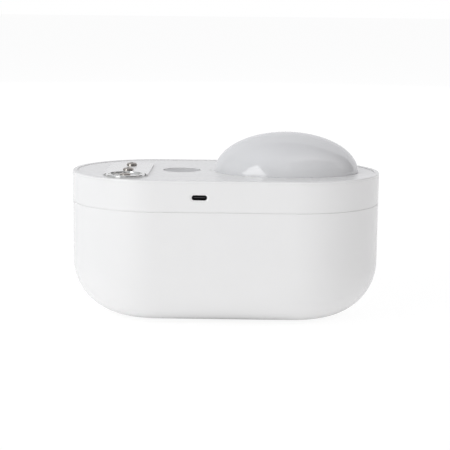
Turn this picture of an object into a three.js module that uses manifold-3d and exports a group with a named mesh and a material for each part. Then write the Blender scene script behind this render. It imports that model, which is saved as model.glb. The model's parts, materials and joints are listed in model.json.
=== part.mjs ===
// A rechargeable motion sensor: a stadium-shaped body standing on its base, with a domed infrared
// lens, a push button and a metal mounting plate on its top face and a USB-C port in its front wall.
// Millimetres, +Z up, +X towards the dome, -Y towards the port. The origin is under the middle of the base.

import * as THREE from "three";
import { mergeVertices } from "three/addons/utils/BufferGeometryUtils.js";
import Module from "manifold-3d";

const wasm = await Module();
wasm.setup();

// ---- driving dimensions ----------------------------------------------------------------------

const bodyLength = 180;
const bodyDepth = 102;
const bodyTop = 85.5;
const endRadius = bodyDepth / 2;
const endCentre = bodyLength / 2 - endRadius;

const wall = 3;
const clearance = 0.3;
const footHeight = 0.6;
const bottomRounding = { across: 32, up: 33 };

const seamLow = 67.6;
const seamHigh = 68;
const lipTop = 71;
const sealTop = 72.2;

const rimWidth = 2.8;
const rimRounding = 1.2;
const ledgeWidth = 2.2;

const plateTop = 85.2;
const plateBottom = 82.2;

const dome = { x: 35.6, halfLength: 42.2, halfDepth: 31, rise: 23.1, wall: 1.8 };
const lensFlange = { width: 2.6, top: 81.2, bottom: 80.2 };
const lensRingBottom = 78.7;

const button = { x: -25.9, radius: 10.8, dish: 2.1, skirtBottom: 76.8 };
const statusWindow = { x: -8.6, radius: 0.75 };

const mount = { x: -56.6, halfWidth: 12.8, front: -33, rear: 23, thickness: 1.1, cornerRadius: 4 };
const cup = { y: -30.5, flangeRadius: 11.3, bodyRadius: 9.4, floor: 85.5 };
const screwRows = { rear: 12, middle: -12, front: cup.y };

const board = { left: -54, right: 57, front: -44, rear: 32, bottom: 72.8, top: 74.4 };
const port = { x: -13.9, z: 76.05, width: 8.94, height: 3.26, shell: 0.3, front: -50.4, back: -43.1 };

const cell = { radius: 9.2, length: 65, y: 9.8, z: 14 };
const leadRadius = 0.8;
const standoffs = [[-42, -36], [-42, 27], [-6, -38], [-6, 28]];

// Facets round each end of the body and round the dome, kept coarse enough to stay light.
const stepsPerEnd = 18;
const domeSegments = 40;

// ---- materials -------------------------------------------------------------------------------

function material(color, roughness, metalness = 0) {
  return new THREE.MeshStandardMaterial({ color, roughness, metalness });
}

const whiteShell = material(0xf1f1f0, 0.25);
const milkyLens = material(0xdcdde0, 0.15);
const nickel = material(0xb9b4aa, 0.2, 1);
const steel = material(0xc4c4c6, 0.35, 1);
const darkSteel = material(0x4a4a4c, 0.35, 1);
const buttonGrey = material(0xc9c9ca, 0.4);
const rubber = material(0x8c8c8e, 0.8);
const blackPlastic = material(0x1c1c1e, 0.5);
const greyPlastic = material(0x9a9b9d, 0.55);
const boardGreen = material(0x1f5a3a, 0.5);
const clearPlastic = material(0xcfd2d4, 0.1);
const cellWrap = material(0x3c6ea8, 0.4);
const redWire = material(0xb02222, 0.5);
const blackWire = material(0x161616, 0.5);

// ---- helpers ---------------------------------------------------------------------------------

const sensor = new THREE.Group();

function add(name, geometry, finish) {
  const mesh = new THREE.Mesh(geometry, finish);
  mesh.name = name;
  sensor.add(mesh);
  return mesh;
}

function toSolid(geometry) {
  const bare = geometry.clone();
  bare.deleteAttribute("normal");
  bare.deleteAttribute("uv");
  const merged = mergeVertices(bare, 1e-4);
  return new wasm.Manifold(new wasm.Mesh({
    numProp: 3,
    vertProperties: new Float32Array(merged.attributes.position.array),
    triVerts: new Uint32Array(merged.index.array),
  }));
}

function toGeometry(solid) {
  const mesh = solid.getMesh();
  const geometry = new THREE.BufferGeometry();
  geometry.setAttribute("position", new THREE.BufferAttribute(mesh.vertProperties, 3));
  geometry.setIndex(new THREE.BufferAttribute(mesh.triVerts, 1));
  return geometry;
}

function cut(geometry, ...tools) {
  return toGeometry(tools.reduce((solid, tool) => solid.subtract(toSolid(tool)), toSolid(geometry)));
}

function join(geometry, ...others) {
  return toGeometry(others.reduce((solid, other) => solid.add(toSolid(other)), toSolid(geometry)));
}

function prism(shape, low, high) {
  const settings = { depth: high - low, bevelEnabled: false };
  return new THREE.ExtrudeGeometry(shape, settings).translate(0, 0, low);
}

function box(x0, x1, y0, y1, z0, z1) {
  const geometry = new THREE.BoxGeometry(x1 - x0, y1 - y0, z1 - z0);
  return geometry.translate((x0 + x1) / 2, (y0 + y1) / 2, (z0 + z1) / 2);
}

function cylinder(x, y, radius, z0, z1, segments = 24) {
  const geometry = new THREE.CylinderGeometry(radius, radius, z1 - z0, segments);
  return geometry.rotateX(Math.PI / 2).translate(x, y, (z0 + z1) / 2);
}

// A body of revolution about a vertical axis, from [radius, height] points that run upwards outside.
function turned(x, y, points, segments = 24) {
  const profile = points.map(([radius, height]) => new THREE.Vector2(radius, height));
  return new THREE.LatheGeometry(profile, segments).rotateX(Math.PI / 2).translate(x, y, 0);
}

function outline(points) {
  return new THREE.Shape(points.map(([x, y]) => new THREE.Vector2(x, y)));
}

// Points along an arc of an ellipse, both its ends included.
function arc(x, y, radiusX, radiusY, from, to, steps) {
  return Array.from({ length: steps + 1 }, (_, step) => {
    const angle = from + (to - from) * (step / steps);
    return [x + radiusX * Math.cos(angle), y + radiusY * Math.sin(angle)];
  });
}

function ellipse(x, y, radiusX, radiusY, segments) {
  return outline(arc(x, y, radiusX, radiusY, 0, 2 * Math.PI, segments).slice(0, -1));
}

function circle(x, y, radius, segments = 24) {
  return ellipse(x, y, radius, radius, segments);
}

function stadiumPoints(offset) {
  const radius = endRadius - offset;
  const quarter = Math.PI / 2;
  return [
    ...arc(endCentre, 0, radius, radius, -quarter, quarter, stepsPerEnd),
    ...arc(-endCentre, 0, radius, radius, quarter, 3 * quarter, stepsPerEnd),
  ];
}

function roundedRectangle(x, y, width, height, radius, cornerSteps = 3) {
  const [dx, dy] = [width / 2 - radius, height / 2 - radius];
  const corners = [[dx, -dy], [dx, dy], [-dx, dy], [-dx, -dy]];
  return outline(corners.flatMap(([cornerX, cornerY], i) => {
    const from = (i - 1) * Math.PI / 2;
    return arc(x + cornerX, y + cornerY, radius, radius, from, from + Math.PI / 2, cornerSteps);
  }));
}

function withHoles(shape, ...holes) {
  shape.holes.push(...holes);
  return shape;
}

// Rings of points, one for each step of a profile, are skinned into one closed surface. The rings run
// anticlockwise seen from above, and the profile runs upwards on the outside of the solid.
function skin(rings, closesOnItself) {
  const perRing = rings[0].length;
  const vertices = rings.flat(2);
  const triangles = [];
  const steps = closesOnItself ? rings.length : rings.length - 1;
  for (let step = 0; step < steps; step++) {
    const low = step * perRing;
    const high = ((step + 1) % rings.length) * perRing;
    for (let i = 0; i < perRing; i++) {
      const j = (i + 1) % perRing;
      triangles.push(low + i, low + j, high + j, low + i, high + j, high + i);
    }
  }
  if (!closesOnItself) {
    capRing(vertices, triangles, rings, 0, true);
    capRing(vertices, triangles, rings, rings.length - 1, false);
  }
  const geometry = new THREE.BufferGeometry();
  geometry.setAttribute("position", new THREE.Float32BufferAttribute(vertices, 3));
  geometry.setIndex(triangles);
  return geometry;
}

function capRing(vertices, triangles, rings, index, facesDown) {
  const ring = rings[index];
  const start = index * ring.length;
  const centre = vertices.length / 3;
  const total = ring.reduce((sum, point) => [sum[0] + point[0], sum[1] + point[1]], [0, 0]);
  vertices.push(total[0] / ring.length, total[1] / ring.length, ring[0][2]);
  for (let i = 0; i < ring.length; i++) {
    const j = (i + 1) % ring.length;
    triangles.push(centre, start + (facesDown ? j : i), start + (facesDown ? i : j));
  }
}

function stadiumRing([offset, z]) {
  return stadiumPoints(offset).map(([x, y]) => [x, y, z]);
}

function ellipseRing([halfLength, halfDepth, z]) {
  const points = arc(dome.x, 0, halfLength, halfDepth, 0, 2 * Math.PI, domeSegments).slice(0, -1);
  return points.map(([x, y]) => [x, y, z]);
}

// A quarter of an ellipse, as [offset, height] points that run up from a flat bottom to an upright wall.
function bottomCurve(offset, low, across, up, steps) {
  const points = [];
  for (let step = 0; step <= steps; step++) {
    const angle = (Math.PI / 2) * (step / steps);
    points.push([offset + across * (1 - Math.sin(angle)), low + up * (1 - Math.cos(angle))]);
  }
  return points;
}

// ---- housings --------------------------------------------------------------------------------

const padOffset = 35;
const padThickness = 1.6;
const bossRadius = 4.4;
const lowerBoss = { bottom: 54, top: lipTop };
const upperBoss = { bottom: sealTop + 0.2, top: 76 };
const screwTip = 60;
const bossReach = (endRadius - wall - 4) / Math.SQRT2;
const bossPlaces = [[1, 1], [1, -1], [-1, 1], [-1, -1]].map(([right, rear]) => (
  [right * (endCentre + bossReach), rear * bossReach]
));

function lowerHousing() {
  const { across, up } = bottomRounding;
  const recess = [[padOffset - clearance, padThickness + clearance], [padOffset - clearance, footHeight]];
  const outside = bottomCurve(0, footHeight, across, up - footHeight, 7);
  const inside = bottomCurve(wall, footHeight + wall, across - wall, up - wall, 5).reverse();
  const lip = [[0, seamLow], [1.6, seamLow], [1.6, lipTop], [wall, lipTop]];
  const shell = skin([...recess, ...outside, ...lip, ...inside].map(stadiumRing), false);
  return withBosses(shell, lowerBoss, screwTip - 1);
}

function withBosses(shell, boss, holeBottom) {
  const columns = bossPlaces.map(([x, y]) => cylinder(x, y, bossRadius, boss.bottom, boss.top, 16));
  const holes = bossPlaces.map(([x, y]) => cylinder(x, y, 1.8, holeBottom, boss.top + 1, 8));
  return cut(join(shell, ...columns), ...holes);
}

function housingScrew(x, y) {
  const seat = upperBoss.top;
  return turned(x, y, [
    [0, screwTip], [1.5, screwTip], [1.5, seat], [2.8, seat], [2.8, seat + 1.4], [2.2, seat + 2], [0, seat + 2],
  ], 10);
}

function upperHousing() {
  const rounding = [0, 1, 2].map((step) => {
    const angle = (Math.PI / 2) * (step / 2);
    return [rimRounding * (1 - Math.cos(angle)), bodyTop - rimRounding * (1 - Math.sin(angle))];
  });
  const ledgeSlope = 2;
  const inside = [
    [rimWidth, bodyTop], [rimWidth, plateBottom],
    [rimWidth + ledgeWidth, plateBottom], [rimWidth + ledgeWidth, plateBottom - 1],
    [rimWidth, plateBottom - 1 - ledgeSlope], [rimWidth, sealTop],
    [1.3, sealTop], [1.3, seamHigh],
  ];
  const band = skin([[0, seamHigh], ...rounding, ...inside].map(stadiumRing), true);
  return cut(withBosses(band, upperBoss, upperBoss.bottom - 1), portOpening());
}

// The opening for the port: a slot through the front wall that widens towards the outside.
function portOpening() {
  const slot = prism(roundedRectangle(0, 0, port.width + 0.7, port.height + 0.7, 1.9), -1, 6);
  const mouth = prism(roundedRectangle(0, 0, 11, 5.2, 2.5), -1, 0.7);
  return join(slot, mouth).rotateX(-Math.PI / 2).translate(port.x, -endRadius, port.z);
}

add("lower_housing", lowerHousing(), whiteShell);
add("upper_housing", upperHousing(), whiteShell);
add("base_pad", skin([[padOffset, 0], [padOffset, padThickness]].map(stadiumRing), false), rubber);
bossPlaces.forEach(([x, y], i) => add(`housing_screw_${i + 1}`, housingScrew(x, y), steel));

const sealProfile = [[1.6, lipTop], [1.6, sealTop], [2.8, sealTop], [2.8, lipTop]];
add("housing_seal", skin(sealProfile.map(stadiumRing), true), rubber);

// ---- top plate -------------------------------------------------------------------------------

const collarBottom = 78;

function topPlate() {
  const openings = [
    ellipse(dome.x, 0, dome.halfLength + clearance, dome.halfDepth + clearance, domeSegments),
    circle(button.x, 0, button.radius + clearance),
    circle(statusWindow.x, 0, statusWindow.radius + clearance, 8),
    circle(mount.x, cup.y, cup.bodyRadius + clearance),
    circle(mount.x, screwRows.rear, 1.8, 8),
    circle(mount.x, screwRows.middle, 1.8, 8),
  ];
  const body = outline(stadiumPoints(rimWidth + clearance));
  const sheet = prism(withHoles(body, ...openings), plateBottom, plateTop);
  const fused = plateBottom + 1;
  const ring = withHoles(circle(button.x, 0, 12.4), circle(button.x, 0, button.radius + clearance));
  const collar = prism(ring, collarBottom, fused);
  const legs = standoffs.map(([x, y]) => cylinder(x, y, 2.5, board.top, fused, 10));
  const legHoles = standoffs.map(([x, y]) => cylinder(x, y, 1.3, board.top - 1, 80, 8));
  return cut(join(sheet, collar, ...legs), ...legHoles);
}

add("top_plate", topPlate(), whiteShell);

// ---- lens ------------------------------------------------------------------------------------

function ellipseOut(extra, z) {
  return ellipseRing([dome.halfLength + extra, dome.halfDepth + extra, z]);
}

function domeCurve(inset, steps) {
  const rings = [];
  for (let step = 0; step < steps; step++) {
    const angle = (Math.PI / 2) * (step / steps);
    const spread = Math.cos(angle);
    const height = plateTop + (dome.rise - inset) * Math.sin(angle);
    rings.push(ellipseRing([(dome.halfLength - inset) * spread, (dome.halfDepth - inset) * spread, height]));
  }
  return rings;
}

function apexRing(inset) {
  const nearlyPoint = 0.05;
  return ellipseRing([nearlyPoint, nearlyPoint, plateTop + dome.rise - inset]);
}

// The hollow dome is an outer skin less an inner one, both open at the flange.
function domeLens() {
  const { width, top, bottom } = lensFlange;
  const outside = [ellipseOut(width, bottom), ellipseOut(width, top), ellipseOut(0, top)];
  const solidDome = skin([...outside, ...domeCurve(0, 7), apexRing(0)], false);
  const hollow = [ellipseOut(-dome.wall, bottom - 1), ...domeCurve(dome.wall, 5), apexRing(dome.wall)];
  return cut(solidDome, skin(hollow, false), pipeNotch());
}

function pipeNotch() {
  return cylinder(statusWindow.x - 0.4, 0, 1.4, lensRingBottom - 1, plateBottom, 8);
}

function ellipseBand(inner, outer, low, high) {
  const rings = [ellipseOut(outer, low), ellipseOut(outer, high), ellipseOut(inner, high), ellipseOut(inner, low)];
  return cut(skin(rings, true), pipeNotch());
}

add("dome_lens", domeLens(), milkyLens);
add("lens_seal", ellipseBand(0.4, lensFlange.width, lensFlange.top, plateBottom), rubber);
add("lens_ring", ellipseBand(-1.6, lensFlange.width + 0.4, lensRingBottom, lensFlange.bottom), greyPlastic);

// ---- mounting plate, its cup and screws --------------------------------------------------------

const mountTop = plateTop + mount.thickness;
const headHeight = 1.5;
const headRadius = 3.2;

function mountOutlineShape() {
  const { x, halfWidth, front, rear, cornerRadius } = mount;
  return roundedRectangle(x, (front + rear) / 2, 2 * halfWidth, rear - front, cornerRadius);
}

// A sheet whose front edge is notched round the cup.
function mountingPlate() {
  const holes = [screwRows.rear, screwRows.middle].map((y) => circle(mount.x, y, 1.8, 8));
  const sheet = prism(withHoles(mountOutlineShape(), ...holes), plateTop, mountTop);
  const notch = cylinder(mount.x, cup.y, cup.flangeRadius + clearance, plateTop - 1, mountTop + 1, 48);
  return cut(sheet, notch);
}

// A turned ring with a shallow dished floor, let into the top plate in front of the mounting plate.
function mountCup() {
  const { flangeRadius, bodyRadius, floor } = cup;
  return turned(mount.x, cup.y, [
    [1.8, plateBottom], [bodyRadius, plateBottom], [bodyRadius, plateTop], [flangeRadius, plateTop],
    [flangeRadius - 0.3, mountTop - 0.2], [flangeRadius - 0.9, mountTop + 0.3], [flangeRadius - 1.6, mountTop + 0.3],
    [flangeRadius - 2.6, floor + 0.4], [5, floor], [1.8, floor], [1.8, plateBottom],
  ], 24);
}

function domedScrew(y, seat, tip) {
  return turned(mount.x, y, [
    [0, tip], [1.5, tip], [1.5, seat], [headRadius, seat], [headRadius - 0.2, seat + 0.6],
    [headRadius - 1, seat + 1.2], [1.1, seat + headHeight], [0.9, seat + headHeight - 1], [0, seat + headHeight - 1],
  ], 14);
}

function backingPlate() {
  const sheet = roundedRectangle(mount.x, -9, 17, 52, 3);
  const holes = Object.values(screwRows).map((y) => circle(mount.x, y, 1.8, 8));
  return prism(withHoles(sheet, ...holes), 80, plateBottom);
}

add("mounting_plate", mountingPlate(), nickel);
add("mount_cup", mountCup(), nickel);
add("plate_screw_rear", domedScrew(screwRows.rear, mountTop, 77), nickel);
add("plate_screw_middle", domedScrew(screwRows.middle, mountTop, 77), nickel);
add("plate_screw_front", domedScrew(screwRows.front, cup.floor, 77), nickel);
add("backing_plate", backingPlate(), steel);

// ---- button, its spring and its switch ---------------------------------------------------------

const capRoof = 81.4;
const stemBottom = 79.4;
const switchTop = 77.8;

// A concave cap on a skirt, with a flange that stops it under the collar and a stem over the switch.
function buttonCap() {
  const { radius, skirtBottom, dish } = button;
  const edge = plateTop - 0.1;
  const face = [1, 0.75, 0.4].map((share) => {
    const reach = share * (radius - 0.5);
    return [reach, edge - dish * (1 - share * share)];
  });
  return turned(button.x, 0, [
    [0, stemBottom], [2, stemBottom], [2, capRoof], [9.2, capRoof], [9.2, skirtBottom],
    [12, skirtBottom], [12, skirtBottom + 1], [radius, skirtBottom + 1], [radius, edge - 0.4],
    ...face, [0, edge - dish],
  ], 24);
}

class Helix extends THREE.Curve {
  constructor(radius, pitch, turns, bottom) {
    super();
    Object.assign(this, { radius, pitch, turns, bottom });
  }

  getPoint(t, target = new THREE.Vector3()) {
    const angle = 2 * Math.PI * this.turns * t;
    const height = this.bottom + this.pitch * this.turns * t;
    return target.set(this.radius * Math.cos(angle), this.radius * Math.sin(angle), height);
  }
}

function returnSpring() {
  const wire = 0.3;
  const turns = 3;
  const low = switchTop + wire + 0.1;
  const high = capRoof - wire - 0.1;
  const path = new Helix(3.6, (high - low) / turns, turns, low);
  const section = circle(0, 0, wire, 6);
  const settings = { steps: 12 * turns, bevelEnabled: false, extrudePath: path };
  return new THREE.ExtrudeGeometry(section, settings).translate(button.x, 0, 0);
}

function switchBody() {
  const half = 6;
  const block = box(button.x - half, button.x + half, -half, half, board.top, switchTop);
  return cut(block, cylinder(button.x, 0, 2.1, 75.4, switchTop + 1, 12));
}

add("button_cap", buttonCap(), buttonGrey);
add("button_spring", returnSpring(), steel);
add("switch_body", switchBody(), blackPlastic);
add("switch_plunger", cylinder(button.x, 0, 1.7, 76.8, stemBottom, 12), greyPlastic);

// ---- circuit board and what is on it -----------------------------------------------------------

function circuitBoard() {
  const { left, right, front, rear, bottom, top } = board;
  const sheet = roundedRectangle((left + right) / 2, (front + rear) / 2, right - left, rear - front, 4);
  const screwHoles = standoffs.map(([x, y]) => circle(x, y, 1.3, 8));
  return prism(withHoles(sheet, ...screwHoles), bottom, top);
}

function boardScrew(x, y) {
  const head = board.bottom - 1.4;
  return turned(x, y, [[0, head], [2, head], [2, board.bottom], [1, board.bottom], [1, 79], [0, 79]], 10);
}

function infraredSensor() {
  const profile = [[0, 80], [4.6, 80], [4.6, 80.6], [4.1, 80.6], [4.1, 83.8], [3.7, 84.2], [0, 84.2]];
  return turned(dome.x, 0, profile, 16);
}

function sensorHolder() {
  return turned(dome.x, 0, [[4.4, board.top], [7, board.top], [6, 80], [4.4, 80], [4.4, board.top]], 16);
}

function usbShell() {
  const { width, height, shell, front, back } = port;
  const outer = prism(roundedRectangle(0, 0, width, height, 1.2), 0, back - front);
  const inner = roundedRectangle(0, 0, width - 2 * shell, height - 2 * shell, 0.9);
  const hollow = prism(inner, -1, back - front - 0.8);
  return cut(outer, hollow).rotateX(-Math.PI / 2).translate(port.x, front, port.z);
}

const tongueBack = port.back - 0.8;
const tongue = box(port.x - 3.3, port.x + 3.3, port.front + 1.2, tongueBack - 0.05, port.z - 0.35, port.z + 0.35);
const lightPipe = cylinder(statusWindow.x, 0, statusWindow.radius, 75.4, plateTop - 0.1, 8);
const statusLight = box(statusWindow.x - 0.8, statusWindow.x + 0.8, -0.5, 0.5, board.top, 75.1);

add("main_board", circuitBoard(), boardGreen);
standoffs.forEach(([x, y], i) => add(`board_screw_${i + 1}`, boardScrew(x, y), steel));
add("pir_holder", sensorHolder(), blackPlastic);
add("pir_sensor", infraredSensor(), steel);
add("pir_window", box(dome.x - 2.3, dome.x + 2.3, -1.7, 1.7, 84.2, 84.6), blackPlastic);
add("usb_shell", usbShell(), darkSteel);
add("usb_tongue", tongue, blackPlastic);
add("light_pipe", lightPipe, clearPlastic);
add("status_light", statusLight, clearPlastic);
add("radio_module", box(2, 20, 12, 26, board.top, 76.8), steel);
add("processor", box(6, 13, -26, -19, board.top, 75.3), blackPlastic);
add("buzzer", cylinder(47, -26, 6, board.top, 78.2, 16), blackPlastic);
add("battery_socket", box(-35, -25, 17, 23, 67.8, board.bottom), greyPlastic);

// ---- battery -----------------------------------------------------------------------------------

const cellHalf = cell.length / 2;
const cradleTop = 12;

function batteryCell(side) {
  const { radius, length, y, z } = cell;
  const tip = 2.6;
  const profile = [[0, 0], [radius, 0], [radius, length - 1], [tip, length - 1], [tip, length], [0, length]];
  const upright = turned(0, 0, profile, 20).translate(0, 0, -cellHalf);
  return upright.rotateY(Math.PI / 2).translate(0, side * y, z);
}

function batteryCradle() {
  const tray = box(-36, 36, -19.6, 19.6, footHeight + wall + 0.1, cradleTop);
  const seats = [-1, 1].map((side) => {
    const seat = cylinder(0, 0, cell.radius + clearance, -cellHalf - 1, cellHalf + 1, 20);
    return seat.rotateY(Math.PI / 2).translate(0, side * cell.y, cell.z);
  });
  return cut(tray, ...seats);
}

// A strap bent over both cells, its feet on the cradle's rims.
function batteryStrap() {
  const top = cell.z + cell.radius + clearance;
  const [inner, outer] = [19.4, 20.4];
  const bent = outline([
    [-outer, cradleTop], [-inner, cradleTop], [-inner, top], [inner, top],
    [inner, cradleTop], [outer, cradleTop], [outer, top + 1], [-outer, top + 1],
  ]);
  const strip = new THREE.ExtrudeGeometry(bent, { depth: 12, bevelEnabled: false });
  return strip.rotateX(Math.PI / 2).rotateZ(Math.PI / 2).translate(-6, 0, 0);
}

function lead(points) {
  const path = new THREE.CatmullRomCurve3(points.map((point) => new THREE.Vector3(...point)));
  const section = circle(0, 0, leadRadius, 8);
  const settings = { steps: 24, bevelEnabled: false, extrudePath: path };
  return new THREE.ExtrudeGeometry(section, settings);
}

const frontLead = [
  [-33.2, -9.8, 14], [-34.8, -9.8, 14.6], [-36.4, -9.4, 18], [-36.6, -6, 30],
  [-34, 10, 48], [-32.4, 17.6, 58], [-32, 19, 67.4],
];
const rearLead = [
  [-33.2, 9.8, 14], [-34.8, 9.8, 14.6], [-36.4, 10.2, 18], [-36.6, 14, 30],
  [-30, 21, 48], [-28.2, 20.6, 58], [-28, 20.4, 67.4],
];

add("battery_cell_front", batteryCell(-1), cellWrap);
add("battery_cell_rear", batteryCell(1), cellWrap);
add("cell_link", box(cellHalf + 0.2, cellHalf + 0.6, -13, 13, cradleTop + clearance, cell.z + 4), nickel);
add("battery_cradle", batteryCradle(), greyPlastic);
add("battery_strap", batteryStrap(), steel);
add("battery_lead_front", lead(frontLead), blackWire);
add("battery_lead_rear", lead(rearLead), redWire);

export default sensor;
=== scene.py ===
"""A rechargeable motion sensor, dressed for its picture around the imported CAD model.

Metres, +Z up, +X towards the dome, -Y towards the port, as in the CAD model. Each piece that shows
is rebuilt here with fine curvature and small edge roundings, and stands for its plainer CAD node.
"""

import json
import math

import bmesh
import bpy
from mathutils import Matrix, Vector
from mathutils.geometry import tessellate_polygon


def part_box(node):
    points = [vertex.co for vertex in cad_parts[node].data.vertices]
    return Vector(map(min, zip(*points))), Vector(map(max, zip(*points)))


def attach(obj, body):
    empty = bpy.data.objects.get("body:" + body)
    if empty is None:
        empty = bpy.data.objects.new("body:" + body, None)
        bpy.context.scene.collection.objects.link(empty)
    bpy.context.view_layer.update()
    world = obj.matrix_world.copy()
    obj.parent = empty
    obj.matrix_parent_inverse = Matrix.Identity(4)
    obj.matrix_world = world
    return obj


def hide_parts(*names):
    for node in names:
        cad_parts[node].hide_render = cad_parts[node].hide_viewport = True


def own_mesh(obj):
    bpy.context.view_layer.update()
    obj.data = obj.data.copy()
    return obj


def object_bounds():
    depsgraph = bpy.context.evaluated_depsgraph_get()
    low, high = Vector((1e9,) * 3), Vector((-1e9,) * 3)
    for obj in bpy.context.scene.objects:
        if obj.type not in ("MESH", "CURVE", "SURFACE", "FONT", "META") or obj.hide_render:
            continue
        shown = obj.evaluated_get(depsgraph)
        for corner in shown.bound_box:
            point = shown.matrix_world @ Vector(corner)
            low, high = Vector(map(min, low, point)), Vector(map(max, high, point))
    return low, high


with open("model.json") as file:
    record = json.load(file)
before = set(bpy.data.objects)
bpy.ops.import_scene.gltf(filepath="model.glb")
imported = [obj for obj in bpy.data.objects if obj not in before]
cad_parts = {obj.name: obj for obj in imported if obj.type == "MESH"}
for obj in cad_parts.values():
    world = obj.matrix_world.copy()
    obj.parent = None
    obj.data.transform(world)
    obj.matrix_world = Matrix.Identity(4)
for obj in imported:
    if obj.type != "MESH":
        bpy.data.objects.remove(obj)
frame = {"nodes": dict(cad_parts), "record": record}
cad_low, cad_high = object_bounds()

# ---- sizes, from the frame and a few moulding dimensions -----------------------------------------

MM = 0.001
QUARTER = math.pi / 2  # of a turn, in radians


def middle(node):
    low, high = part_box(node)
    return (low + high) / 2


lower_low, lower_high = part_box("lower_housing")
upper_low, upper_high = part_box("upper_housing")
lens_low, lens_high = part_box("dome_lens")
lens_middle = middle("dome_lens")
plate_low, plate_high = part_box("top_plate")
metal_low, metal_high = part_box("mounting_plate")
cap_low, cap_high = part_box("button_cap")

END_RADIUS = (lower_high.y - lower_low.y) / 2
END_CENTRE = lower_high.x - END_RADIUS
WALL = 3 * MM
CLEARANCE = 0.3 * MM

FOOT = lower_low.z
BOTTOM_ACROSS = 32 * MM
BOTTOM_UP = 33 * MM
SEAM_LOW = 67.6 * MM
SEAM_HIGH = upper_low.z
REVEAL = 0.35 * MM
LIP_INSET = 1.6 * MM
LIP_REBATE = 1.3 * MM
LIP_TOP = lower_high.z
SEAL_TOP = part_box("housing_seal")[1].z

BODY_TOP = upper_high.z
RIM_WIDTH = 2.8 * MM
RIM_ROUNDING = 1.2 * MM
RIM_LINE = BODY_TOP - 1.45 * MM
CREASE = 0.12 * MM
LEDGE_WIDTH = 2.2 * MM
LEDGE_RISE = 1 * MM
LEDGE_SLOPE = 3 * MM
RIM_GAP = 0.12 * MM
PLATE_TOP = plate_high.z
PLATE_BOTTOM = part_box("mount_cup")[0].z

PAD_OFFSET = END_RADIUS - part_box("base_pad")[1].y
PAD_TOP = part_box("base_pad")[1].z

FLANGE_WIDTH = 2.6 * MM
FLANGE_TOP = 81.2 * MM
LENS_WALL = 1.8 * MM
LENS_GAP = 0.08 * MM
DOME_LENGTH = (lens_high.x - lens_low.x) / 2 - FLANGE_WIDTH
DOME_DEPTH = (lens_high.y - lens_low.y) / 2 - FLANGE_WIDTH
DOME_RISE = lens_high.z - PLATE_TOP

CAP_RADIUS = 10.8 * MM
CAP_BORE = 9.2 * MM
CAP_DISH = 1.7 * MM
CAP_RIM = 0.45 * MM
CAP_EDGE = cap_high.z - 0.4 * MM
CAP_ROOF = 81.4 * MM
CAP_FLANGE = 1 * MM
STEM_RADIUS = 2 * MM
COLLAR_RADIUS = 12.4 * MM
COLLAR_BOTTOM = 78 * MM

SOFT_EDGE = 0.25 * MM
CRISP_EDGE = 0.15 * MM
WORN_EDGE = 0.12 * MM


# ---- outlines: anticlockwise loops of (x, y) points ----------------------------------------------


def arc(x, y, radius_x, radius_y, start, end, steps):
    """Points along an arc of an ellipse, both its ends included."""
    angles = [start + (end - start) * step / steps for step in range(steps + 1)]
    return [(x + radius_x * math.cos(a), y + radius_y * math.sin(a)) for a in angles]


def ellipse(x, y, radius_x, radius_y, steps=160):
    return arc(x, y, radius_x, radius_y, 0, 4 * QUARTER, steps)[:-1]


def circle(x, y, radius, steps=96):
    return ellipse(x, y, radius, radius, steps)


def stadium(inset, steps=72):
    """The body's outline, moved inwards by inset."""
    radius = END_RADIUS - inset
    right = arc(END_CENTRE, 0, radius, radius, -QUARTER, QUARTER, steps)
    left = arc(-END_CENTRE, 0, radius, radius, QUARTER, 3 * QUARTER, steps)
    return right + left


def rounded_rectangle(x, y, width, height, radius, steps=10):
    dx, dy = width / 2 - radius, height / 2 - radius
    points = []
    for corner, (side_x, side_y) in enumerate([(dx, -dy), (dx, dy), (-dx, dy), (-dx, -dy)]):
        start = (corner - 1) * QUARTER
        points += arc(x + side_x, y + side_y, radius, radius, start, start + QUARTER, steps)
    return points


def shrunk(points, distance):
    """The loop moved inwards by distance, or outwards if that is negative."""
    moved = []
    for i, point in enumerate(points):
        here = Vector(point)
        along_in = (here - Vector(points[i - 1])).normalized()
        along_out = (Vector(points[(i + 1) % len(points)]) - here).normalized()
        inward = Vector((-along_in.y - along_out.y, along_in.x + along_out.x)).normalized()
        share = max(0.5, inward.dot(Vector((-along_in.y, along_in.x))))
        moved.append(tuple(here + inward * distance / share))
    return moved


def rounded(profile, closed=False, steps=5):
    """A profile of (across, up) points, where a third number rounds that corner to that radius."""
    points = []
    for i, (across, up, *radius) in enumerate(profile):
        corner = Vector((across, up))
        at_end = not closed and i in (0, len(profile) - 1)
        if not radius or at_end:
            points.append((across, up))
            continue
        before = Vector(profile[i - 1][:2]) - corner
        after = Vector(profile[(i + 1) % len(profile)][:2]) - corner
        half_angle = before.angle(after) / 2
        reach = min(radius[0] / math.tan(half_angle), before.length / 2, after.length / 2)
        start = corner + before.normalized() * reach
        end = corner + after.normalized() * reach
        for step in range(steps + 1):
            share = step / steps
            curve = start.lerp(corner, share).lerp(corner.lerp(end, share), share)
            points.append(tuple(curve))
    return points


# ---- meshes --------------------------------------------------------------------------------------

TOUCHING = 1e-7
ON_AXIS = 1e-5


def piece_from(name, vertices, faces):
    mesh = bpy.data.meshes.new(name)
    mesh.from_pydata([tuple(v) for v in vertices], [], faces)
    piece = bpy.data.objects.new(name, mesh)
    bpy.context.scene.collection.objects.link(piece)
    tidy(piece)
    return piece


def tidy(piece):
    """Merges points that coincide and turns every face outwards."""
    shape = bmesh.new()
    shape.from_mesh(piece.data)
    bmesh.ops.remove_doubles(shape, verts=shape.verts, dist=TOUCHING)
    bmesh.ops.dissolve_degenerate(shape, dist=TOUCHING, edges=shape.edges)
    bmesh.ops.recalc_face_normals(shape, faces=shape.faces)
    shape.to_mesh(piece.data)
    shape.free()


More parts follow.
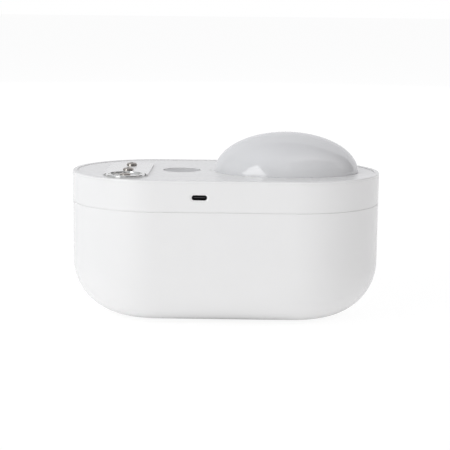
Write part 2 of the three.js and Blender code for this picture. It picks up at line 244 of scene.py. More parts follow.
def loft(name, rings, closed=False):
    """Quads between rings of points. The first and the last ring are filled, unless the rings close."""
    count = len(rings[0])
    vertices = [point for ring in rings for point in ring]
    steps = len(rings) if closed else len(rings) - 1
    faces = []
    for step in range(steps):
        low, high = step * count, (step + 1) % len(rings) * count
        for i in range(count):
            j = (i + 1) % count
            faces.append((low + i, low + j, high + j, high + i))
    if not closed:
        faces.append(tuple(range(count))[::-1])
        faces.append(tuple(range((len(rings) - 1) * count, len(rings) * count)))
    return piece_from(name, vertices, faces)


def stadium_loft(name, profile, closed=False):
    """A body whose section is a profile of (inset, height, rounding) points."""
    rings = []
    for inset, z in rounded(profile, closed):
        rings.append([(x, y, z) for x, y in stadium(inset)])
    return loft(name, rings, closed)


def turned(name, centre, profile, closed=False, segments=96, steps=5):
    """A body of revolution about a vertical axis, from (radius, height, rounding) points."""
    rings = []
    for radius, z in rounded(profile, closed, steps):
        loop = circle(centre[0], centre[1], max(radius, ON_AXIS), segments)
        rings.append([(x, y, z) for x, y in loop])
    return loft(name, rings, closed)


def slab(name, outer, holes, low, high, edge=SOFT_EDGE, steps=4):
    """A flat piece with holes, whose top and bottom edges are rounded by edge."""
    levels = []
    for step in range(steps + 1):
        angle = QUARTER * step / steps
        levels.append((edge * (1 - math.sin(angle)), low + edge * (1 - math.cos(angle))))
    levels += [(inset, low + high - z) for inset, z in reversed(levels)]
    vertices, faces, caps = [], [], {0: [], len(levels) - 1: []}
    for loop, inward in [(outer, 1)] + [(hole, -1) for hole in holes]:
        first, count = len(vertices), len(loop)
        for level, (inset, z) in enumerate(levels):
            ring = [(x, y, z) for x, y in shrunk(loop, inward * inset)]
            if level in caps:
                caps[level].append([(len(vertices) + i, point) for i, point in enumerate(ring)])
            vertices += ring
        for level in range(len(levels) - 1):
            start = first + level * count
            for i in range(count):
                j = (i + 1) % count
                faces.append((start + i, start + j, start + count + j, start + count + i))
    for loops in caps.values():
        index = [i for loop in loops for i, _ in loop]
        for triangle in tessellate_polygon([[Vector(p) for _, p in loop] for loop in loops]):
            faces.append(tuple(index[i] for i in triangle))
    return piece_from(name, vertices, faces)


def tube(name, path, radius, sides=12):
    """A round wire along a list of points, its ends flat."""
    points = [Vector(p) for p in path]
    rings = []
    side = Vector((0, 0, 1))
    for i, point in enumerate(points):
        ahead = points[min(i + 1, len(points) - 1)] - points[max(i - 1, 0)]
        across = ahead.cross(side).normalized()
        up = across.cross(ahead).normalized()
        rings.append([point + across * x + up * y for x, y in circle(0, 0, radius, sides)])
    return loft(name, rings)


def moved(piece, matrix):
    piece.data.transform(matrix)
    return piece


def combined(piece, operation, *tools):
    """Joins the tools to the piece, or cuts them from it, and leaves one mesh."""
    for tool in tools:
        step = piece.modifiers.new("combine", "BOOLEAN")
        step.operation = operation
        step.solver = "MANIFOLD"
        step.object = tool
        graph = bpy.context.evaluated_depsgraph_get()
        result = bpy.data.meshes.new_from_object(piece.evaluated_get(graph))
        piece.modifiers.clear()
        piece.data = result
        bpy.data.objects.remove(tool)
    return piece


def cut(piece, *tools):
    return combined(piece, "DIFFERENCE", *tools)


def join(piece, *tools):
    return combined(piece, "UNION", *tools)


def peg(x, y, radius, low, high, segments=32):
    """An upright cylinder, to be joined to a piece or cut from it."""
    loop = circle(x, y, radius, segments)
    return loft("peg", [[(px, py, z) for px, py in loop] for z in (low, high)])


def smooth(piece, sharp_degrees=38):
    """Smooth shading between sharp edges, with large flat faces kept flat."""
    shape = bmesh.new()
    shape.from_mesh(piece.data)
    for face in shape.faces:
        face.smooth = True
    for edge in shape.edges:
        edge.smooth = len(edge.link_faces) == 2 and edge.calc_face_angle() < math.radians(sharp_degrees)
    shape.to_mesh(piece.data)
    shape.free()
    weight = piece.modifiers.new("flat faces stay flat", "WEIGHTED_NORMAL")
    weight.keep_sharp = True
    return piece


# ---- materials -----------------------------------------------------------------------------------

NOISE_LOW, NOISE_HIGH = 0.3, 0.7  # the range that most of a noise texture's values lie in
DRIFT_SCALE = 60
GLOSS_SCALE = 350
GLOSS_SHARE = 0.15


def new_material(name):
    material = bpy.data.materials.new(name)
    material.use_nodes = True
    tree = material.node_tree
    return material, tree, tree.nodes["Principled BSDF"]


def noise(tree, scale, detail=3.0):
    """Noise in the object's own coordinates, scale in features a metre."""
    place = tree.nodes.new("ShaderNodeTexCoord")
    texture = tree.nodes.new("ShaderNodeTexNoise")
    texture.inputs["Scale"].default_value = scale
    texture.inputs["Detail"].default_value = detail
    tree.links.new(place.outputs["Object"], texture.inputs["Vector"])
    return texture.outputs["Fac"]


def spread(tree, source, low, high):
    """The noise's usual range, mapped to low..high."""
    span = tree.nodes.new("ShaderNodeMapRange")
    span.inputs["From Min"].default_value = NOISE_LOW
    span.inputs["From Max"].default_value = NOISE_HIGH
    span.inputs["To Min"].default_value = low
    span.inputs["To Max"].default_value = high
    tree.links.new(source, span.inputs["Value"])
    return span.outputs["Result"]


def tinted(tree, source, colour, other):
    """One colour that drifts to another over the noise's usual range."""
    ramp = tree.nodes.new("ShaderNodeValToRGB")
    ramp.color_ramp.elements[0].position = NOISE_LOW
    ramp.color_ramp.elements[0].color = (*colour, 1)
    ramp.color_ramp.elements[1].position = NOISE_HIGH
    ramp.color_ramp.elements[1].color = (*other, 1)
    tree.links.new(source, ramp.inputs["Fac"])
    return ramp.outputs["Color"]


def bumped(tree, source, height):
    bump = tree.nodes.new("ShaderNodeBump")
    bump.inputs["Strength"].default_value = 1.0
    bump.inputs["Distance"].default_value = height
    tree.links.new(source, bump.inputs["Height"])
    return bump.outputs["Normal"]


def finish(name, colour, roughness, vary=0.03, grain=4000, depth=0.002 * MM, **sockets):
    """A moulded, painted or plated finish: soft colour drift, uneven gloss and a fine surface grain."""
    material, tree, shader = new_material(name)
    other = tuple(part * (1 - vary) for part in colour)
    tree.links.new(tinted(tree, noise(tree, DRIFT_SCALE), colour, other), shader.inputs["Base Color"])
    least, most = roughness * (1 - GLOSS_SHARE), roughness * (1 + GLOSS_SHARE)
    tree.links.new(spread(tree, noise(tree, GLOSS_SCALE), least, most), shader.inputs["Roughness"])
    tree.links.new(bumped(tree, noise(tree, grain, 4.0), depth), shader.inputs["Normal"])
    for socket, value in sockets.items():
        shader.inputs[socket.replace("_", " ")].default_value = value
    return material


MATERIALS = {
    "white_shell": finish("white_shell", (0.84, 0.84, 0.84), 0.22, vary=0.008, depth=0.0006 * MM),
    "milky_lens": finish(
        "milky_lens", (0.74, 0.745, 0.76), 0.05, vary=0.015, depth=0.0002 * MM, Specular_IOR_Level=0.8
    ),
    "nickel_plate": finish("nickel_plate", (0.82, 0.82, 0.81), 0.2, vary=0.03, Metallic=1.0),
    "nickel_screw": finish("nickel_screw", (0.5, 0.47, 0.44), 0.12, vary=0.08, Metallic=1.0),
    "steel": finish("steel", (0.6, 0.6, 0.61), 0.3, vary=0.08, Metallic=1.0),
    # dark_steel: near-black metal for the port's shell, painted shade for the inside of the port; the
    # real shell is bright steel.
    "dark_steel": finish("dark_steel", (0.05, 0.05, 0.052), 0.35, vary=0.1, Metallic=1.0),
    "button_grey": finish("button_grey", (0.56, 0.56, 0.57), 0.35, vary=0.02, depth=0.001 * MM),
    "pad_rubber": finish("pad_rubber", (0.36, 0.36, 0.37), 0.75, vary=0.12, grain=1800, depth=0.05 * MM),
    "black_plastic": finish("black_plastic", (0.04, 0.04, 0.042), 0.4, vary=0.2, depth=0.004 * MM),
    "grey_plastic": finish("grey_plastic", (0.4, 0.4, 0.41), 0.5, vary=0.06, depth=0.004 * MM),
    "circuit_board": finish("circuit_board", (0.02, 0.16, 0.08), 0.35, vary=0.25, depth=0.01 * MM),
    "clear_plastic": finish("clear_plastic", (0.8, 0.82, 0.83), 0.1, vary=0.04, Transmission_Weight=0.5),
    "cell_wrap": finish("cell_wrap", (0.05, 0.16, 0.4), 0.3, vary=0.12, depth=0.004 * MM),
    "red_wire": finish("red_wire", (0.5, 0.02, 0.02), 0.4, vary=0.12, depth=0.004 * MM),
    "black_wire": finish("black_wire", (0.012, 0.012, 0.013), 0.4, vary=0.2, depth=0.004 * MM),
}
SLOTS = {row["node"]: row["material_slot"] for row in frame["record"]["subparts"]}

finished_nodes = set()  # the CAD nodes that a finished piece stands for


def fitted(piece, node, body="housing", sharp_degrees=38):
    """The finished piece rides on its body, stands for its CAD node and takes that node's finish."""
    smooth(piece, sharp_degrees)
    piece.data.materials.clear()
    piece.data.materials.append(MATERIALS[SLOTS[node]])
    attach(piece, body)
    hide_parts(node)
    finished_nodes.add(node)
    return piece


# ---- housings ------------------------------------------------------------------------------------

BOSS_RADIUS = 4.4 * MM
BOSS_HOLE = 1.8 * MM
BOSS_FROM_WALL = 4 * MM
BOSS_REACH = (END_RADIUS - WALL - BOSS_FROM_WALL) / math.sqrt(2)
LOWER_BOSS_FOOT = 54 * MM
LOWER_BOSS_HOLE = 59 * MM
UPPER_BOSS_TOP = 76 * MM
SEAM_EDGE = 0.12 * MM
HAIR = 0.05 * MM
BOSS_PLACES = [
    (side * (END_CENTRE + BOSS_REACH), depth * BOSS_REACH) for side in (1, -1) for depth in (1, -1)
]


def with_bosses(shell, low, high, hole_low):
    """The shell with its four screw bosses, their holes open at the top."""
    for x, y in BOSS_PLACES:
        join(shell, peg(x, y, BOSS_RADIUS, low, high))
        cut(shell, peg(x, y, BOSS_HOLE, hole_low, high + MM))
    return shell


def bottom_curve(inset, low, across, up, steps=28):
    """A quarter of an ellipse, from a flat bottom up to an upright wall."""
    angles = [QUARTER * step / steps for step in range(steps + 1)]
    return [(inset + across * (1 - math.sin(a)), low + up * (1 - math.cos(a))) for a in angles]


def lower_shell():
    recess = PAD_OFFSET - CLEARANCE
    outside = bottom_curve(0, FOOT, BOTTOM_ACROSS, BOTTOM_UP - FOOT)
    inside = bottom_curve(WALL, FOOT + WALL, BOTTOM_ACROSS - WALL, BOTTOM_UP - WALL)
    profile = [
        (recess, PAD_TOP + CLEARANCE), (recess, FOOT, 0.3 * MM), *outside,
        (0, SEAM_LOW, SEAM_EDGE), (REVEAL, SEAM_LOW, HAIR), (REVEAL, SEAM_HIGH - HAIR),
        (LIP_INSET, SEAM_HIGH - HAIR), (LIP_INSET, LIP_TOP, CRISP_EDGE), (WALL, LIP_TOP, CRISP_EDGE),
        *reversed(inside),
    ]
    shell = stadium_loft("lower_shell", profile)
    return with_bosses(shell, LOWER_BOSS_FOOT, LIP_TOP, LOWER_BOSS_HOLE)


def upper_shell():
    inner = RIM_WIDTH
    ledge = RIM_WIDTH + LEDGE_WIDTH
    profile = [
        (0, SEAM_HIGH, SEAM_EDGE), (0, RIM_LINE - CREASE), (CREASE, RIM_LINE), (0, RIM_LINE + CREASE),
        (0, BODY_TOP, RIM_ROUNDING), (inner, BODY_TOP, CRISP_EDGE), (inner, PLATE_BOTTOM),
        (ledge, PLATE_BOTTOM, CRISP_EDGE), (ledge, PLATE_BOTTOM - LEDGE_RISE),
        (inner, PLATE_BOTTOM - LEDGE_SLOPE), (inner, SEAL_TOP, CRISP_EDGE), (LIP_REBATE, SEAL_TOP),
        (LIP_REBATE, SEAM_HIGH, CRISP_EDGE),
    ]
    shell = stadium_loft("upper_shell", profile, closed=True)
    with_bosses(shell, SEAL_TOP + 0.2 * MM, UPPER_BOSS_TOP, SEAL_TOP - MM)
    return cut(shell, port_cutter())


# ---- port ----------------------------------------------------------------------------------------

PORT_LOW, PORT_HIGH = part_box("usb_shell")
PORT_MIDDLE = middle("usb_shell")
PORT_WIDTH = PORT_HIGH.x - PORT_LOW.x
PORT_HEIGHT = PORT_HIGH.z - PORT_LOW.z
PORT_FACING = Matrix.Translation((PORT_MIDDLE.x, 0, PORT_MIDDLE.z)) @ Matrix.Rotation(QUARTER, 4, "X")
PORT_CORNER = 1.2 * MM
PORT_PLAY = 0.2 * MM
CUTTER_LENGTH = 6 * MM
MOUTH_WIDTH = 11 * MM
MOUTH_HEIGHT = 5.4 * MM
MOUTH_DEPTH = 0.35 * MM
LIP_DEPTH = 0.55 * MM
LIP_REACH = 0.3 * MM
CONTACTS = 12
CONTACT_PITCH = 0.5 * MM
CONTACT_WIDTH = 0.24 * MM
CONTACT_RISE = 0.03 * MM


def port_cutter():
    """The port's opening: a slot behind a thin lip that hides the shell's edge, and a dished mouth."""
    slot = Vector((PORT_WIDTH + PORT_PLAY, PORT_HEIGHT + PORT_PLAY))
    neck = slot - 2 * Vector((LIP_REACH, LIP_REACH))
    mouth = Vector((MOUTH_WIDTH, MOUTH_HEIGHT))
    sections = [(slot, CUTTER_LENGTH), (slot, LIP_DEPTH), (neck, LIP_DEPTH)]
    steps = 8
    for step in range(steps + 1):
        share = step / steps
        sections.append((neck.lerp(mouth, share), MOUTH_DEPTH * math.cos(QUARTER * share)))
    sections.append((mouth, -MM))
    rings = []
    for (width, height), depth in sections:
        loop = rounded_rectangle(0, 0, width, height, height / 2 * 0.98, 16)
        rings.append([(x, y, END_RADIUS - depth) for x, y in loop])
    return moved(loft("port_cutter", rings), PORT_FACING)


def usb_shell():
    """A drawn steel tube with a rounded lip, its back closed."""
    wall, back_wall, lip = 0.3 * MM, 0.8 * MM, 0.12 * MM
    front, back = -PORT_LOW.y, -PORT_HIGH.y
    rings = []
    profile = [(wall, back + back_wall), (wall, front, lip), (0, front, lip), (0, back)]
    for inset, depth in rounded(profile):
        width, height = PORT_WIDTH - 2 * inset, PORT_HEIGHT - 2 * inset
        loop = rounded_rectangle(0, 0, width, height, PORT_CORNER - inset, 10)
        rings.append([(x, y, depth) for x, y in loop])
    return moved(loft("port_shell", rings), PORT_FACING)


def usb_tongue():
    """The tongue that a plug slides over, with its row of contacts."""
    low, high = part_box("usb_tongue")
    width, height = high.x - low.x, high.z - low.z
    tip, root = -low.y, -high.y
    outer = rounded_rectangle(0, 0, width, height, height / 2 * 0.9, 6)
    tongue = slab("port_tongue", outer, [], root, tip, 0.12 * MM)
    for number in range(CONTACTS):
        x = (number - (CONTACTS - 1) / 2) * CONTACT_PITCH
        strip = rounded_rectangle(x, 0, CONTACT_WIDTH, height + 2 * CONTACT_RISE, 0.05 * MM, 2)
        join(tongue, slab("contact", strip, [], root + MM, tip - 0.6 * MM, 0.02 * MM, 1))
    return moved(tongue, PORT_FACING)


# ---- top plate -----------------------------------------------------------------------------------

CUP_MIDDLE = middle("mount_cup")
CUP_RADIUS = (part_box("mount_cup")[1].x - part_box("mount_cup")[0].x) / 2
CUP_BODY_RADIUS = CUP_RADIUS - 1.9 * MM
PIPE_MIDDLE = middle("light_pipe")
PIPE_RADIUS = (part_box("light_pipe")[1].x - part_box("light_pipe")[0].x) / 2
CAP_MIDDLE = middle("button_cap")
SCREW_HOLE = 1.8 * MM
LEG_RADIUS = 2.5 * MM
LEG_HOLE = 1.3 * MM
LEG_HOLE_TOP = 80 * MM


def screw_holes():
    """The holes for the two screws behind the cup, through the metal plate and the top plate."""
    places = [middle(f"plate_screw_{row}") for row in ("rear", "middle")]
    return [circle(place.x, place.y, SCREW_HOLE, 32) for place in places]


def top_cover():
    """The top plate, with the button's collar and the board's four legs under it."""
    cap_hole = CAP_RADIUS + CLEARANCE
    holes = [
        ellipse(lens_middle.x, 0, DOME_LENGTH + LENS_GAP, DOME_DEPTH + LENS_GAP),
        circle(CAP_MIDDLE.x, 0, cap_hole),
        circle(PIPE_MIDDLE.x, 0, PIPE_RADIUS + CLEARANCE, 32),
        circle(CUP_MIDDLE.x, CUP_MIDDLE.y, CUP_BODY_RADIUS + CLEARANCE),
        *screw_holes(),
    ]
    outline = stadium(RIM_WIDTH + RIM_GAP)
    cover = slab("top_cover", outline, holes, PLATE_BOTTOM, PLATE_TOP, CRISP_EDGE)
    fused = PLATE_BOTTOM + MM
    collar = [
        (COLLAR_RADIUS, COLLAR_BOTTOM), (COLLAR_RADIUS, fused),
        (cap_hole, fused), (cap_hole, COLLAR_BOTTOM),
    ]
    join(cover, turned("collar", CAP_MIDDLE, collar, closed=True))
    for number in range(1, 5):
        place = middle(f"board_screw_{number}")
        join(cover, peg(place.x, place.y, LEG_RADIUS, plate_low.z, fused))
        cut(cover, peg(place.x, place.y, LEG_HOLE, plate_low.z - MM, LEG_HOLE_TOP))
    return cover


# ---- lens ----------------------------------------------------------------------------------------

LENS_COLUMNS = 20
LENS_ROWS = 5
LENS_BULGE = 0.25 * MM
SKIN_RIPPLE = 0.03 * MM
STEPS_AROUND = 240
STEPS_UP = 50
CROWN = 0.994  # how far up the dome its last ring is; a small flat face closes it
PIPE_NOTCH_RADIUS = 1.4 * MM
PIPE_NOTCH_SHIFT = 0.4 * MM


def dome_ring(grow, z):
    """A plain ring of the dome's outline, moved outwards by grow."""
    loop = ellipse(lens_middle.x, 0, DOME_LENGTH + grow, DOME_DEPTH + grow, STEPS_AROUND)
    return [(x, y, z) for x, y in loop]


def facet_bulge(around, up):
    """How far one small lens of the inner face stands in, from 0 at its border to 1 at its middle."""
    across = 2 * (around * LENS_COLUMNS % 1) - 1
    along = 2 * (up * LENS_ROWS % 1) - 1
    return (1 - across * across) * (1 - along * along)


def faceted_ring(up, depth, bulge):
    """A ring of the dome at some depth below its skin, where the small lenses swell by bulge."""
    angle = QUARTER * up
    ring = []
    for step in range(STEPS_AROUND):
        share = step / STEPS_AROUND
        inset = depth + bulge * facet_bulge(share, up)
        around = 4 * QUARTER * share
        ring.append((
            lens_middle.x + (DOME_LENGTH - inset) * math.cos(angle) * math.cos(around),
            (DOME_DEPTH - inset) * math.cos(angle) * math.sin(around),
            PLATE_TOP + (DOME_RISE - inset) * math.sin(angle),
        ))
    return ring


def lens_dome():
    """The dome: from the inner face's crown down, round the flange, and up the skin to its crown."""
    base = lens_low.z
    heights = [CROWN * step / STEPS_UP for step in range(STEPS_UP + 1)]
    rings = [faceted_ring(up, LENS_WALL, LENS_BULGE) for up in reversed(heights)]
    rings += [
        dome_ring(-LENS_WALL, base), dome_ring(FLANGE_WIDTH, base),
        dome_ring(FLANGE_WIDTH, FLANGE_TOP), dome_ring(0, FLANGE_TOP),
    ]
    rings += [faceted_ring(up, SKIN_RIPPLE, -SKIN_RIPPLE) for up in heights]
    dome = loft("lens_dome", rings)
    notch_x = PIPE_MIDDLE.x - PIPE_NOTCH_SHIFT
    return cut(dome, peg(notch_x, 0, PIPE_NOTCH_RADIUS, base - MM, PLATE_BOTTOM))


# ---- button, spring and light pipe ---------------------------------------------------------------


def press_button():
    """A concave cap on a flanged skirt, with the stem that pushes the switch inside it."""
    face_radius = CAP_RADIUS - CAP_RIM
    steps = 14
    face = []
    for step in range(steps):
        share = 1 - step / steps
        face.append((face_radius * share, CAP_EDGE - CAP_DISH * (1 - share * share)))
    flange = (cap_high.x - cap_low.x) / 2
    flange_top = cap_low.z + CAP_FLANGE
    stem_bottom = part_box("switch_plunger")[1].z
    return turned("press_button", CAP_MIDDLE, [
        (0, stem_bottom), (STEM_RADIUS, stem_bottom, 0.3 * MM), (STEM_RADIUS, CAP_ROOF, 0.3 * MM),
        (CAP_BORE, CAP_ROOF, 0.4 * MM), (CAP_BORE, cap_low.z, CRISP_EDGE),
        (flange, cap_low.z, CRISP_EDGE), (flange, flange_top, CRISP_EDGE),
        (CAP_RADIUS, flange_top, CRISP_EDGE), (CAP_RADIUS, CAP_EDGE, 0.3 * MM), *face,
    ])


def return_spring():
    low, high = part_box("button_spring")
    wire = 0.3 * MM
    coil = (high.x - low.x) / 2 - wire
    turns, steps = 3, 96
    path = []
    for step in range(steps + 1):
        share = step / steps
        angle = 4 * QUARTER * turns * share
        z = low.z + wire + (high.z - low.z - 2 * wire) * share
        path.append((CAP_MIDDLE.x + coil * math.cos(angle), coil * math.sin(angle), z))
    return tube("return_spring", path, wire)


def status_pipe():
    """A clear rod with a slightly crowned end."""
    low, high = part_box("light_pipe")
    crown = 0.2 * MM
    return turned("status_pipe", PIPE_MIDDLE, [
        (0, low.z), (PIPE_RADIUS, low.z, 0.1 * MM), (PIPE_RADIUS, high.z - crown, CRISP_EDGE),
        (PIPE_RADIUS * 0.55, high.z - crown * 0.3), (0, high.z),
    ], segments=40)


# ---- mounting plate, cup and screws --------------------------------------------------------------

METAL_CORNER = 4 * MM
METAL_EDGE = 0.3 * MM
CUP_FLOOR = 85.5 * MM
CUP_DISH_RADIUS = 5 * MM
HEAD_HEIGHT = 1.5 * MM
HEAD_EDGE = 0.35 * MM
HEAD_FLAT = 0.42  # of the head's radius, at its top
SHANK_RADIUS = 1.5 * MM
SHANK_TIP = 0.3 * MM
SOCKET_RADIUS = 1.15 * MM
SOCKET_DEPTH = 1.1 * MM


def metal_plate():
    """A sheet with two screw holes, its front edge notched round the cup."""
    centre = middle("mounting_plate")
    width, depth = metal_high.x - metal_low.x, metal_high.y - metal_low.y
    outline = rounded_rectangle(centre.x, centre.y, width, depth, METAL_CORNER, 8)
    sheet = slab("metal_plate", outline, screw_holes(), metal_low.z, metal_high.z, METAL_EDGE)
    notch_radius = CUP_RADIUS + CLEARANCE
    low, high = metal_low.z - MM, metal_high.z + MM
    return cut(sheet, peg(CUP_MIDDLE.x, CUP_MIDDLE.y, notch_radius, low, high, 96))


def metal_cup():
    """A ring with a barrelled wall, a rolled rim and a shallow dished floor."""
    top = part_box("mount_cup")[1].z
    return turned("metal_cup", CUP_MIDDLE, [
        (SCREW_HOLE, PLATE_BOTTOM), (CUP_BODY_RADIUS, PLATE_BOTTOM, 0.2 * MM),
        (CUP_BODY_RADIUS, PLATE_TOP),
        (CUP_RADIUS - 0.15 * MM, PLATE_TOP), (CUP_RADIUS, top - 0.7 * MM, 0.4 * MM),
        (CUP_RADIUS - 0.25 * MM, top - 0.1 * MM, 0.4 * MM), (CUP_RADIUS - 0.8 * MM, top, 0.3 * MM),
        (CUP_RADIUS - 1.6 * MM, top, 0.2 * MM), (CUP_BODY_RADIUS, CUP_FLOOR + 0.15 * MM, 0.3 * MM),
        (CUP_DISH_RADIUS, CUP_FLOOR, 1 * MM), (SCREW_HOLE, CUP_FLOOR, 0.1 * MM),
    ], closed=True, steps=8)


def domed_screw(row):
    """A button-head screw with a hexagon socket."""
    node = f"plate_screw_{row}"
    place = middle(node)
    low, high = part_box(node)
    radius = (high.x - low.x) / 2
    seat = high.z - HEAD_HEIGHT
    steps = 10
    crown = []
    for step in range(steps + 1):
        angle = QUARTER * step / steps
        reach = radius * (HEAD_FLAT + (1 - HEAD_FLAT) * math.cos(angle))
        crown.append((reach, seat + HEAD_EDGE + (HEAD_HEIGHT - HEAD_EDGE) * math.sin(angle)))
    screw = turned(f"domed_screw_{row}", place, [
        (0, low.z), (SHANK_RADIUS - SHANK_TIP, low.z), (SHANK_RADIUS, low.z + SHANK_TIP),
        (SHANK_RADIUS, seat), (radius, seat, 0.1 * MM), *crown, (0, high.z),
    ], segments=72)
    return cut(screw, peg(place.x, place.y, SOCKET_RADIUS, high.z - SOCKET_DEPTH, high.z + MM, 6))


# ---- the pieces, each in place of its CAD node ---------------------------------------------------

fitted(lower_shell(), "lower_housing")
fitted(upper_shell(), "upper_housing")
fitted(slab("grip_pad", stadium(PAD_OFFSET), [], 0, PAD_TOP, 0.35 * MM), "base_pad")
fitted(top_cover(), "top_plate")
fitted(lens_dome(), "dome_lens")
fitted(metal_plate(), "mounting_plate")
fitted(metal_cup(), "mount_cup")
for screw_row in ("rear", "middle", "front"):
    fitted(domed_screw(screw_row), f"plate_screw_{screw_row}")
# The port's shell is finished in near-black metal, painted shade for the inside of the port.
fitted(usb_shell(), "usb_shell")
fitted(usb_tongue(), "usb_tongue")
fitted(status_pipe(), "light_pipe")
fitted(press_button(), "button_cap", body="button")
spring = fitted(return_spring(), "button_spring")
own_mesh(spring)

for node_name, node in frame["nodes"].items():
    node.data.materials.clear()
    node.data.materials.append(MATERIALS[SLOTS[node_name]])
    if node_name not in finished_nodes:
        worn = node.modifiers.new("soft edges", "BEVEL")
        worn.width = WORN_EDGE
        worn.segments = 2
        worn.limit_method = "ANGLE"
        worn.angle_limit = math.radians(50)


# ---- studio --------------------------------------------------------------------------------------

CARD_DISTANCE = 2.5
# Cards' corners, as azimuth and elevation in degrees. The window's light falls on matt surfaces from
# one card and is mirrored in glossy ones by another, a little nearer to the front.
WINDOW = [(-70, -2), (-29, -2), (-32, 15), (-38, 28), (-46, 38), (-58, 47), (-63, 38), (-67, 22)]
WINDOW_GLARE = [(-59, -2), (-23, -2), (-25, 6), (-29, 18), (-34, 27), (-41, 36), (-48, 29), (-54, 16)]
WINDOW_RADIANCE = 3.35
DARK_FLAG = [(5, 2), (80, 2), (80, 40), (45, 52), (5, 45)]
DARK_FLAG_RADIANCE = 0.14
BACKDROP = [(124, 0), (152, 0), (180, 0), (208, 0), (236, 0)]
BACKDROP += [(236, 48), (208, 60), (180, 63), (152, 60), (124, 50)]
BACKDROP_RADIANCE = 0.88
# Azimuth, elevation, spread and strength in red, green and blue of the soft light from each side.
ROOM_LOBES = {
    "left": (-90, 20, 80, (0.43, 0.43, 0.43)),
    "front left": (-45, 25, 60, (0.17, 0.19, 0.2)),
    "front right": (45, 25, 60, (0.83, 0.81, 0.8)),
    "above": (0, 90, 60, (0.42, 0.42, 0.44)),
}
FLOOR_HALF = 60.0
FLOOR_DROP = 0.02 * MM
FLOOR_ALBEDO = 0.8
FLOOR_GLOW = 0.3
# The floor's glow begins and is full at these shares of the way from the body's middle to its side.
GLOW_BEGINS, GLOW_FULL = 0.35, 0.95
# The floor that the camera sees is mostly glow, so that the body's shadow on it stays pale.
SEEN_FLOOR_ALBEDO = 0.18
SEEN_FLOOR_GLOW = 0.88
CAMERA_DISTANCE = 0.740183
CAMERA_ELEVATION, CAMERA_YAW, CAMERA_ROLL = (math.radians(a) for a in (9.674, 0.719, -0.588))
CAMERA_TARGET = Vector((-0.219 * MM, 0, 52.425 * MM))
CAMERA_LENS = 99.58
CAMERA_SENSOR = 36


def glow(name, radiance, tint=(1, 1, 1)):
    material, tree, shader = new_material(name)
    tree.nodes.remove(shader)
    light = tree.nodes.new("ShaderNodeEmission")
    light.inputs["Color"].default_value = (*tint, 1)
    light.inputs["Strength"].default_value = radiance
    tree.links.new(light.outputs["Emission"], tree.nodes["Material Output"].inputs["Surface"])
    return material


def direction(azimuth, elevation):
    """The way to a side of the room, azimuth from the front (-Y) towards the right (+X), in radians."""
    level = math.cos(elevation)
    return Vector((math.sin(azimuth) * level, -math.cos(azimuth) * level, math.sin(elevation)))


def light_card(name, corners, radiance, tint=(1, 1, 1), lights_matt=True):
    """A glowing studio card round the body's top, which the camera doesn't see.

    One that doesn't light matt surfaces is only seen in reflections.
    """
    mesh = bpy.data.meshes.new(name)
    top = Vector((0, 0, BODY_TOP))
    points = [top + CARD_DISTANCE * direction(math.radians(a), math.radians(e)) for a, e in corners]
    mesh.from_pydata(points, [], [tuple(range(len(corners)))])
    card = bpy.data.objects.new(name, mesh)
    bpy.context.scene.collection.objects.link(card)
    card.data.materials.append(glow(name, radiance, tint))
    card.visible_camera = False
    card.visible_shadow = False
    card.visible_diffuse = lights_matt
    return card


def for_camera(tree, seen, otherwise):
    """One shader where the camera looks straight at the surface, and another for the light it gives."""
    path = tree.nodes.new("ShaderNodeLightPath")
    choose = tree.nodes.new("ShaderNodeMixShader")
    tree.links.new(path.outputs["Is Camera Ray"], choose.inputs["Fac"])
    tree.links.new(otherwise, choose.inputs[1])
    tree.links.new(seen, choose.inputs[2])
    return choose.outputs["Shader"]


def open_floor_glow(tree):
    """The strength of the floor's glow, which paints a shadow under the body: nothing under the body,
    and full well away from it.
    """
    place = tree.nodes.new("ShaderNodeTexCoord")
    scaled = tree.nodes.new("ShaderNodeVectorMath")
    scaled.operation = "MULTIPLY"
    scaled.inputs[1].default_value = (1 / cad_high.x, 1 / cad_high.y, 0)
    reach = tree.nodes.new("ShaderNodeVectorMath")
    reach.operation = "LENGTH"
    rise = tree.nodes.new("ShaderNodeMapRange")
    rise.inputs["From Min"].default_value = GLOW_BEGINS
    rise.inputs["From Max"].default_value = GLOW_FULL
    rise.inputs["To Max"].default_value = FLOOR_GLOW
    tree.links.new(place.outputs["Object"], scaled.inputs[0])
    tree.links.new(scaled.outputs["Vector"], reach.inputs[0])
    tree.links.new(reach.outputs["Value"], rise.inputs["Value"])
    return rise.outputs["Result"]


def paper(tree, albedo, strength=0.0, strength_map=None):
    """A matt white surface that also glows a little, evenly or by a map."""
    matt = tree.nodes.new("ShaderNodeBsdfDiffuse")
    matt.inputs["Color"].default_value = (albedo, albedo, albedo, 1)
    light = tree.nodes.new("ShaderNodeEmission")
    light.inputs["Strength"].default_value = strength
    if strength_map is not None:
        tree.links.new(strength_map, light.inputs["Strength"])
    both = tree.nodes.new("ShaderNodeAddShader")
    tree.links.new(matt.outputs["BSDF"], both.inputs[0])
    tree.links.new(light.outputs["Emission"], both.inputs[1])
    return both.outputs["Shader"]


def studio_floor():
    mesh = bpy.data.meshes.new("studio_floor")
    corners = [(-1, -1), (1, -1), (1, 1), (-1, 1)]
    mesh.from_pydata([(x * FLOOR_HALF, y * FLOOR_HALF, 0) for x, y in corners], [], [(0, 1, 2, 3)])
    floor = bpy.data.objects.new("studio_floor", mesh)
    floor.location.z = -FLOOR_DROP
    bpy.context.scene.collection.objects.link(floor)
    material, tree, shader = new_material("studio_floor")
    tree.nodes.remove(shader)
    seen = paper(tree, SEEN_FLOOR_ALBEDO, SEEN_FLOOR_GLOW)
    lit = paper(tree, FLOOR_ALBEDO, strength_map=open_floor_glow(tree))
    surface = for_camera(tree, seen=seen, otherwise=lit)
    tree.links.new(surface, tree.nodes["Material Output"].inputs["Surface"])
    floor.data.materials.append(material)


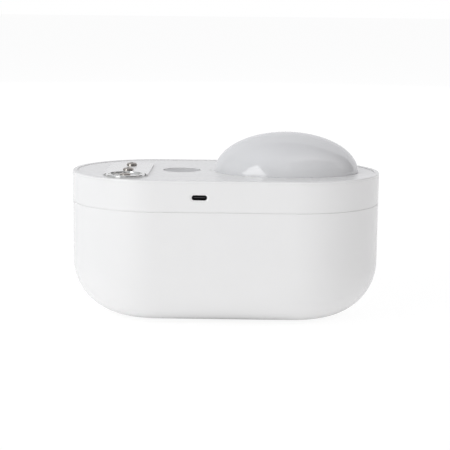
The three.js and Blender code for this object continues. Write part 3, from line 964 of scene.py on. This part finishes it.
def lobe(tree, azimuth, elevation, spread_degrees, colour):
    """Soft light from one side of the room: strongest at its middle, gone spread_degrees away."""
    place = tree.nodes.new("ShaderNodeTexCoord")
    towards = tree.nodes.new("ShaderNodeVectorMath")
    towards.operation = "DOT_PRODUCT"
    towards.inputs[1].default_value = direction(math.radians(azimuth), math.radians(elevation))
    tree.links.new(place.outputs["Generated"], towards.inputs[0])
    fade = tree.nodes.new("ShaderNodeMapRange")
    fade.interpolation_type = "SMOOTHSTEP"
    fade.inputs["From Min"].default_value = math.cos(math.radians(spread_degrees))
    tree.links.new(towards.outputs["Value"], fade.inputs["Value"])
    light = tree.nodes.new("ShaderNodeBackground")
    light.inputs["Color"].default_value = (*colour, 1)
    tree.links.new(fade.outputs["Result"], light.inputs["Strength"])
    return light.outputs["Background"]


def studio_world():
    """White to the camera, and a softly lit room to everything else."""
    world = bpy.data.worlds.new("studio")
    bpy.context.scene.world = world
    world.use_nodes = True
    tree = world.node_tree
    tree.nodes.remove(tree.nodes["Background"])
    room = None
    for side in ROOM_LOBES.values():
        soft = lobe(tree, *side)
        if room is not None:
            both = tree.nodes.new("ShaderNodeAddShader")
            tree.links.new(room, both.inputs[0])
            tree.links.new(soft, both.inputs[1])
            soft = both.outputs["Shader"]
        room = soft
    white = tree.nodes.new("ShaderNodeBackground")
    white.inputs["Color"].default_value = (1, 1, 1, 1)
    surface = for_camera(tree, seen=white.outputs["Background"], otherwise=room)
    tree.links.new(surface, tree.nodes["World Output"].inputs["Surface"])


def camera():
    """The camera stands in front, a little to the right, and looks slightly down at the body."""
    away = direction(CAMERA_YAW, CAMERA_ELEVATION)
    look = (-away).to_track_quat("-Z", "Y").to_matrix().to_4x4()
    data = bpy.data.cameras.new("camera")
    data.lens = CAMERA_LENS
    data.sensor_width = CAMERA_SENSOR
    eye = bpy.data.objects.new("camera", data)
    place = Matrix.Translation(CAMERA_TARGET + away * CAMERA_DISTANCE)
    eye.matrix_world = place @ look @ Matrix.Rotation(-CAMERA_ROLL, 4, "Z")
    bpy.context.scene.collection.objects.link(eye)
    bpy.context.scene.camera = eye


studio_floor()
studio_world()
camera()
light_card("window", WINDOW, WINDOW_RADIANCE).visible_glossy = False
light_card("window_glare", WINDOW_GLARE, WINDOW_RADIANCE, lights_matt=False)
light_card("dark_flag", DARK_FLAG, DARK_FLAG_RADIANCE, lights_matt=False)
light_card("backdrop", BACKDROP, BACKDROP_RADIANCE, (0.98, 0.98, 1.0))
bpy.context.scene.view_settings.view_transform = "Standard"
